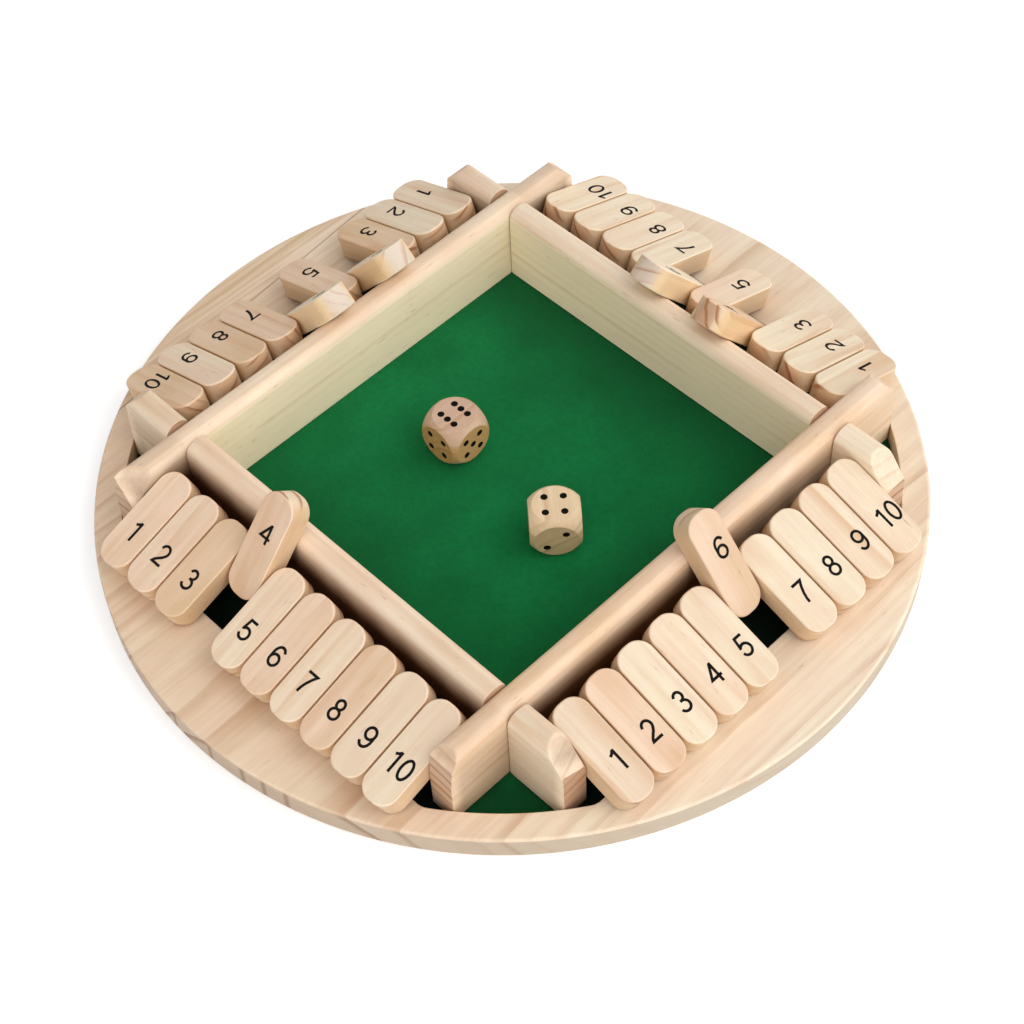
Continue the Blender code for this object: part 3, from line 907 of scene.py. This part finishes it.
def make_rails():
    """Two long rails, two cross rails between them and four stubs outside them."""
    for name, side, tone, heart, facets in (
            ("left", -1, (1.0, 0.5, 0.8), (5 * MM, -46 * MM), 1.0),
            ("right", 1, (1.0, 1.25, 1.3), (-6 * MM, -48 * MM), 0.7)):
        rail = rail_blank(f"long_rail_{name}_pine", -RAIL_END, RAIL_END)
        sand_end(rail, 1)
        sand_end(rail, -1, LEFT_RAIL_FACET if name == "left" else PLAIN_FACET)
        for end in (-1, 1):
            drill_socket(rail, end * ROD_DISTANCE, -side)
        place = Matrix.Translation((side * RAIL_CENTRE, 0.0, 0.0))
        finish_rail(rail, place, tone, heart, LONG_RAILS_SEED + side, "long_rail_" + name,
                    facets=facets)
    turned = Matrix.Rotation(-math.pi / 2, 4, "Z")
    stub_start = LONG_RAIL_HIGH.x + SEAT_GAP
    for name, side, tone, heart in (
            ("front", -1, (0.99, 0.75, 0.9), (7 * MM, -45 * MM)),
            ("back", 1, (1.0, 0.6, 0.9), (-6 * MM, -50 * MM))):
        rail = rail_blank(f"cross_rail_{name}_pine", -CROSS_RAIL_HIGH.x, CROSS_RAIL_HIGH.x)
        place = Matrix.Translation((0.0, side * RAIL_CENTRE, 0.0)) @ turned
        finish_rail(rail, place, tone, heart, CROSS_RAILS_SEED + side, "cross_rail_" + name)
        for end_name, end in (("left", -1), ("right", 1)):
            stub_name = f"stub_rail_{name}_{end_name}"
            start, finish = sorted((end * stub_start, end * RAIL_END))
            stub = rail_blank(stub_name + "_pine", start, finish)
            tone, ends, facets, facet = STUB_WOODS[f"{name}_{end_name}"]
            sand_end(stub, end, facet)
            drill_socket(stub, end * ROD_DISTANCE, side)
            seed = STUBS_SEED + 2 * side + end
            heart = (side * end * STUB_HEART[0], STUB_HEART[1])
            finish_rail(stub, place, tone, heart, seed, stub_name, ends, facets)


def make_rods():
    """The steel rod of each row."""
    for row, (turn, _, _) in ROWS.items():
        rod = bar(f"hinge_rod_{row}_steel", ROD_RADIUS, -ROD_HALF_LENGTH, ROD_HALF_LENGTH)
        round_edges(rod, lambda edge: crease(edge) > SQUARE_EDGE, ROD_END_EASE, 2)
        finish_in(rod, ROD_STEEL)
        rod.data.transform(row_frame(turn, 0.0))
        ride_on(rod, "board", "rod_steel", "hinge_rod_" + row)


def row_frame(turn, along):
    """The place on a row's rod axis at a distance along the row."""
    return Matrix.Rotation(turn, 4, "Z") @ Matrix.Translation((along, ROD_DISTANCE, ROD_HEIGHT))


# Numbers


def bow(centre, radii, start, end, steps=20):
    """Points along an ellipse from one angle to another, in degrees."""
    points = []
    for step in range(steps + 1):
        angle = math.radians(start + (end - start) * step / steps)
        points.append((centre[0] + radii[0] * math.cos(angle),
                       centre[1] + radii[1] * math.sin(angle)))
    return points


# Each digit's pen strokes, as shares of its height. A stroke that ends where it starts is closed
DIGIT_SHARES = {
    "0": [bow((0.31, 0.50), (0.235, 0.44), 0, 360, 44)],
    "1": [[(0.375, 0.0), (0.375, 0.965)], [(0.375, 0.94), (0.27, 0.83), (0.13, 0.755)]],
    "2": [bow((0.305, 0.69), (0.225, 0.25), 172, -32)
          + [(0.40, 0.42), (0.23, 0.27), (0.115, 0.155), (0.075, 0.06), (0.575, 0.06)]],
    "3": [bow((0.295, 0.735), (0.195, 0.205), 165, -90) + [(0.235, 0.53)],
          bow((0.295, 0.295), (0.24, 0.235), 90, -165)],
    "4": [[(0.60, 0.285), (0.055, 0.285), (0.42, 0.88), (0.445, 0.88), (0.445, 0.0)]],
    "5": [[(0.545, 0.94), (0.175, 0.94), (0.105, 0.495)]
          + bow((0.30, 0.32), (0.245, 0.26), 138, -165)],
    "6": [bow((0.315, 0.315), (0.235, 0.255), 0, 360, 40),
          bow((0.335, 0.59), (0.255, 0.35), 32, 180) + [(0.082, 0.45), (0.082, 0.34)]],
    "7": [[(0.06, 0.94), (0.565, 0.94), (0.43, 0.73), (0.31, 0.46), (0.24, 0.22), (0.215, 0.0)]],
    "8": [bow((0.31, 0.735), (0.19, 0.205), 0, 360, 40),
          bow((0.31, 0.295), (0.235, 0.235), 0, 360, 40)],
    "9": [bow((0.305, 0.685), (0.235, 0.255), 0, 360, 40),
          bow((0.285, 0.41), (0.255, 0.35), 212, 360) + [(0.538, 0.55), (0.538, 0.66)]],
}
DIGIT_MIDDLE_SHARE = (0.31, 0.50)
DIGIT_ADVANCE_SHARE = 0.63


def pen_stroke(name, points):
    """A flat band of ink of the pen's width along points, lying on Z = 0."""
    closed = math.dist(points[0], points[-1]) < 1e-6
    corners = points[:-1] if closed else points
    count = len(corners)
    edges = [(index, (index + 1) % count) for index in range(count if closed else count - 1)]
    mesh = bpy.data.meshes.new(name)
    mesh.from_pydata([(x * NUMBER_HEIGHT, y * NUMBER_HEIGHT, 0.0) for x, y in corners], edges, [])
    stroke = bpy.data.objects.new(name, mesh)
    bpy.context.collection.objects.link(stroke)
    work_on_whole(stroke, bpy.ops.mesh.extrude_edges_move,
                  TRANSFORM_OT_translate={"value": (0.0, 0.0, INK_THICKNESS)})
    work_on_whole(stroke, bpy.ops.mesh.normals_make_consistent, inside=False)
    finish_with(stroke, "SOLIDIFY", thickness=NUMBER_STROKE_SHARE * NUMBER_HEIGHT, offset=0.0,
                use_even_offset=True)
    work_on_whole(stroke, bpy.ops.mesh.normals_make_consistent, inside=False)
    return stroke


def make_digit(digit):
    """One digit as a single thin solid."""
    strokes = [pen_stroke(f"digit_{digit}_{index}", points)
               for index, points in enumerate(DIGIT_SHARES[digit])]
    for extra in strokes[1:]:
        cut_by(strokes[0], extra, "UNION")
    strokes[0].name = "digit_" + digit
    return strokes[0]


def make_number(number, digits):
    """A number's digits side by side, centred on the origin, reading along X."""
    text = str(number)
    parts = []
    for index, digit in enumerate(text):
        part = copy_of(digits[digit], "number_part")
        start = (index - (len(text) - 1) / 2) * DIGIT_ADVANCE_SHARE - DIGIT_MIDDLE_SHARE[0]
        part.data.transform(Matrix.Translation(
            (start * NUMBER_HEIGHT, -DIGIT_MIDDLE_SHARE[1] * NUMBER_HEIGHT, 0.0)))
        parts.append(part)
    join_all(parts)
    return parts[0]


def join_all(parts):
    """Join parts into the first."""
    take_up(parts[0])
    for part in parts:
        part.select_set(True)
    if len(parts) > 1:
        bpy.ops.object.join()


# Tiles


def lying_tilt():
    """A lying tile's tilt: its free end's lower edge rests on the board."""
    reach = TILE_LENGTH - TILE_ROD_SETBACK - TILE_EDGE_EASE
    half = TILE_THICKNESS / 2
    drop = ROD_HEIGHT - BOARD_HIGH.z - SEAT_GAP
    return math.atan2(half, reach) - math.asin(drop / math.hypot(reach, half))


def raised_tilt():
    """A raised tile's tilt: its numbered face leans on the rail's crown."""
    to_crown_x = LONG_RAIL_HIGH.x - RAIL_CROWN_RADIUS - ROD_DISTANCE
    to_crown_z = RAIL_TOP - RAIL_CROWN_RADIUS - ROD_HEIGHT
    offset = TILE_THICKNESS / 2 + RAIL_CROWN_RADIUS + SEAT_GAP
    slant = math.asin(offset / math.hypot(to_crown_x, to_crown_z))
    return math.atan2(to_crown_z, to_crown_x) - slant


def tile_blank():
    """A drilled tile, with its rod along X through the origin and its free end towards +Y."""
    half_width = TILE_WIDTH / 2
    half_thickness = TILE_THICKNESS / 2
    tile = block("tile_blank", (-half_width, -TILE_ROD_SETBACK, -half_thickness),
                 (half_width, TILE_LENGTH - TILE_ROD_SETBACK, half_thickness))
    round_edges(tile, lambda edge: runs_along(edge, 2), TILE_CORNER_RADIUS, TILE_CORNER_STEPS)
    ease_outline(tile)
    reach = half_width + OVERRUN
    cut_by(tile, bar("tile_drill", TILE_HOLE_RADIUS, -reach, reach))
    return tile


def ease_outline(tile):
    """Ease the edges around a tile's two faces: crisp along its sides, softer at its ends."""
    middle = TILE_LENGTH / 2 - TILE_ROD_SETBACK
    reach = TILE_LENGTH / 2
    mesh = tile.data
    shares = mesh.attributes.new("bevel_weight_edge", "FLOAT", "EDGE")
    for index, edge in enumerate(mesh.edges):
        one, other = (mesh.vertices[corner].co for corner in edge.vertices)
        if abs(one.z - other.z) > 0.1 * MM:
            continue
        past = abs((one.y + other.y) / 2 - middle) - (reach - TILE_CORNER_RADIUS)
        turned = min(1.0, max(0.0, past / (0.8 * TILE_CORNER_RADIUS)))
        ease = TILE_SIDE_EASE + (TILE_END_EASE - TILE_SIDE_EASE) * turned
        shares.data[index].value = ease / TILE_END_EASE
    finish_with(tile, "BEVEL", width=TILE_END_EASE, segments=4, profile=TILE_EASE_PROFILE,
                limit_method="WEIGHT")


def make_tiles():
    """Ten tiles in each row, numbered on both faces."""
    blank = tile_blank()
    digits = {digit: make_digit(digit) for digit in DIGIT_SHARES}
    numbers = {number: make_number(number, digits) for number in range(1, TILES_IN_ROW + 1)}
    middle = (TILES_IN_ROW + 1) / 2
    chance = random.Random(TILES_SEED)
    for row, (turn, raised, woods) in ROWS.items():
        for number, wood in enumerate(woods.split(), start=1):
            node = f"tile_{row}_{number}"
            tilt = raised_tilt() if number in raised else lying_tilt()
            place = row_frame(turn, (middle - number) * TILE_PITCH) @ Matrix.Rotation(tilt, 4, "X")
            tile = copy_of(blank, node + "_pine")
            across = chance.choice((-1, 1)) * chance.uniform(*TILE_HEARTS[0]) * MM
            heart = (across, chance.uniform(*TILE_HEARTS[1]) * MM)
            season_timber(tile, TONES[wood], heart, chance.random(),
                          ends=BROWN_ENDS.get(node, 1.0),
                          sides=PALE_SIDES if node in PALE_SIDED else 1.0)
            finish_in(tile, TILE_PINE)
            tile.data.transform(place)
            ride_on(tile, node, "tile_pine", node)
            shift = NUMBER_SHIFTS[row][0 if number <= TILES_IN_ROW / 2 else 1]
            print_number(numbers[number], node, place, shift)
    for used in [blank, *digits.values(), *numbers.values()]:
        bpy.data.objects.remove(used)


def print_number(number, node, place, shift):
    """Print a number on both faces of a tile."""
    lift = TILE_THICKNESS / 2 - INK_SINK
    prints = []
    for height, axis in ((lift, "Z"), (-lift, "Y")):
        turned = Matrix.Rotation(math.pi, 4, axis)
        side = copy_of(number, node + "_number")
        side.data.transform(Matrix.Translation((shift, NUMBER_DISTANCE, height)) @ turned)
        prints.append(side)
    join_all(prints)
    printed = prints[0]
    printed.data.materials.clear()
    printed.data.materials.append(NUMBER_INK)
    printed.data.transform(place)
    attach(printed, node)


# Dice

# How far a spot stands off a side's middle, as a share of the die's side
PIP_SPREAD_SHARE = 0.183

# The spots of each number, as columns and lines counted from the side's middle
SPOT_SHARES = {
    1: [(0, 0)],
    2: [(-1, -1), (1, 1)],
    3: [(-1, -1), (0, 0), (1, 1)],
    4: [(-1, -1), (1, -1), (-1, 1), (1, 1)],
    5: [(-1, -1), (1, -1), (0, 0), (-1, 1), (1, 1)],
    6: [(-1, -1), (0, -1), (1, -1), (-1, 1), (0, 1), (1, 1)],
}

# The turn that brings a die's top to each of its sides, in quarter turns about an axis
SIDE_TURNS = {
    side: Matrix.Rotation(quarters * math.pi / 2, 4, axis) for side, quarters, axis in (
        ("top", 0, "X"), ("bottom", 2, "X"), ("front", 1, "X"), ("back", -1, "X"),
        ("right", 1, "Y"), ("left", -1, "Y"))
}

# Each die's turn about Z, its tone and the number on each of its sides
DICE = {
    "die_a": (0.0, (1.0, 0.7, 1.0),
              {"top": 6, "front": 4, "right": 5, "bottom": 1, "back": 3, "left": 2}),
    "die_b": (math.radians(48.7), (1.02, 0.2, 1.0),
              {"top": 4, "front": 2, "right": 1, "bottom": 3, "back": 5, "left": 6}),
}
BALL_SEGMENTS = 128
SPOT_SEGMENTS = 32


def paint_slots(piece, wood, used=0):
    """Give a piece a die's two finishes and put all its faces in one of them."""
    piece.data.materials.clear()
    piece.data.materials.append(wood)
    piece.data.materials.append(PIP_PAINT)
    for face in piece.data.polygons:
        face.material_index = used


def make_dice():
    """Two cubes turned away to a ball at their corners, with drilled and painted spots."""
    half = DIE_SIDE / 2
    cap_radius = (PIP_RADIUS ** 2 + PIP_DEPTH ** 2) / (2 * PIP_DEPTH)
    for seed, (name, (turn, tone, spots)) in enumerate(DICE.items(), start=DICE_SEED):
        die = block(name + "_wood", (-half, -half, -half), (half, half, half))
        cut_by(die, ball("die_ball", DIE_BALL_RADIUS, (0, 0, 0), BALL_SEGMENTS), "INTERSECT")
        round_edges(die, lambda edge: crease(edge) > DIE_SHARP_EDGE, DIE_EDGE_ROUND, 3)
        wood = DICE_WOODS[name]
        paint_slots(die, wood)
        centre_height = half + cap_radius - PIP_DEPTH
        spread = PIP_SPREAD_SHARE * DIE_SIDE
        for side, number in spots.items():
            for column, line in SPOT_SHARES[number]:
                place = Vector((column * spread, line * spread, centre_height))
                centre = SIDE_TURNS[side] @ place
                spot = ball("spot_cut", cap_radius, centre, SPOT_SEGMENTS)
                paint_slots(spot, wood, 1)
                cut_by(die, spot)
        season_timber(die, tone, DIE_HEART, seed, edges=0.3)
        shade(die, degrees=30)
        low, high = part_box(name)
        die.data.transform(Matrix.Translation((low + high) / 2) @ Matrix.Rotation(turn, 4, "Z"))
        ride_on(die, name, "dice_wood", name)


# Floor, light and camera


def make_floor():
    """A pale floor that looks white where no shadow falls on it."""
    floor = primitive("floor", bpy.ops.mesh.primitive_plane_add, size=2 * FLOOR_HALF_SIZE,
                      location=(0, 0, 0))
    paper = Recipe("floor_paper")
    paper.set(Base_Color=(0.8, 0.8, 0.8, 1.0), Roughness=0.9, Specular_IOR_Level=0.0)
    glow = paper.node("ShaderNodeEmission")
    paper.feed(glow.inputs["Strength"], paper.product(paper.seen(), FLOOR_GLOW))
    both = paper.node("ShaderNodeAddShader", paper.shader.outputs[0], glow.outputs[0])
    paper.feed(paper.tree.nodes["Material Output"].inputs["Surface"], both.outputs[0])
    floor.data.materials.append(paper.result)


def make_light():
    """A white surround that lights softly, most from the right and the back, and two lamps."""
    sky = Recipe("studio", bpy.data.worlds, "Background")
    bpy.context.scene.world = sky.result
    ray = sky.node("ShaderNodeTexCoord").outputs["Generated"]
    facing = sky.node("ShaderNodeVectorMath", ray, SKY_TILT, operation="DOT_PRODUCT")
    light = sky.maths("MAXIMUM", sky.total(facing.outputs["Value"], SKY_STRENGTH), 0.0)
    strength = sky.node("ShaderNodeMix", sky.seen())
    sky.feed(strength.inputs["A"], light)
    sky.feed(strength.inputs["B"], 1.0)
    sky.set(Color=(1.0, 1.0, 1.0, 1.0), Strength=strength.outputs[0])
    add_lamp("key_light", KEY_PLACE, KEY_SIZE, KEY_SHARE)
    add_lamp("fill_light", FILL_PLACE, FILL_SIZE, FILL_SHARE)


def add_lamp(name, place, size, share):
    """A round soft box aimed at the board that gives a share of the full light."""
    lamp = bpy.data.lights.new(name, "AREA")
    lamp.shape = "DISK"
    lamp.size = size
    lamp.energy = share * math.pi ** 2 * place.length_squared
    holder = bpy.data.objects.new(name, lamp)
    holder.location = place
    holder.rotation_euler = place.to_track_quat("Z", "Y").to_euler()
    bpy.context.scene.collection.objects.link(holder)


def make_camera():
    """The photograph's camera, turned to the middle and then stepped aside in its own plane."""
    turn = (Matrix.Rotation(CAMERA_AZIMUTH, 4, "Z")
            @ Matrix.Rotation(math.pi / 2 - CAMERA_ELEVATION, 4, "X")
            @ Matrix.Rotation(CAMERA_ROLL, 4, "Z"))
    step = Matrix.Translation((CAMERA_SIDE_STEP, CAMERA_RISE, CAMERA_DISTANCE))
    lens = bpy.data.cameras.new("camera")
    lens.sensor_width = SENSOR_WIDTH_MM
    lens.lens = CAMERA_LENS_MM
    camera = bpy.data.objects.new("camera", lens)
    camera.matrix_world = turn @ step
    bpy.context.scene.collection.objects.link(camera)
    bpy.context.scene.camera = camera


make_camera()
make_light()
make_floor()
make_board()
make_base()
make_felt()
make_rails()
make_rods()
make_tiles()
make_dice()
bpy.context.scene.view_settings.view_transform = "Standard"
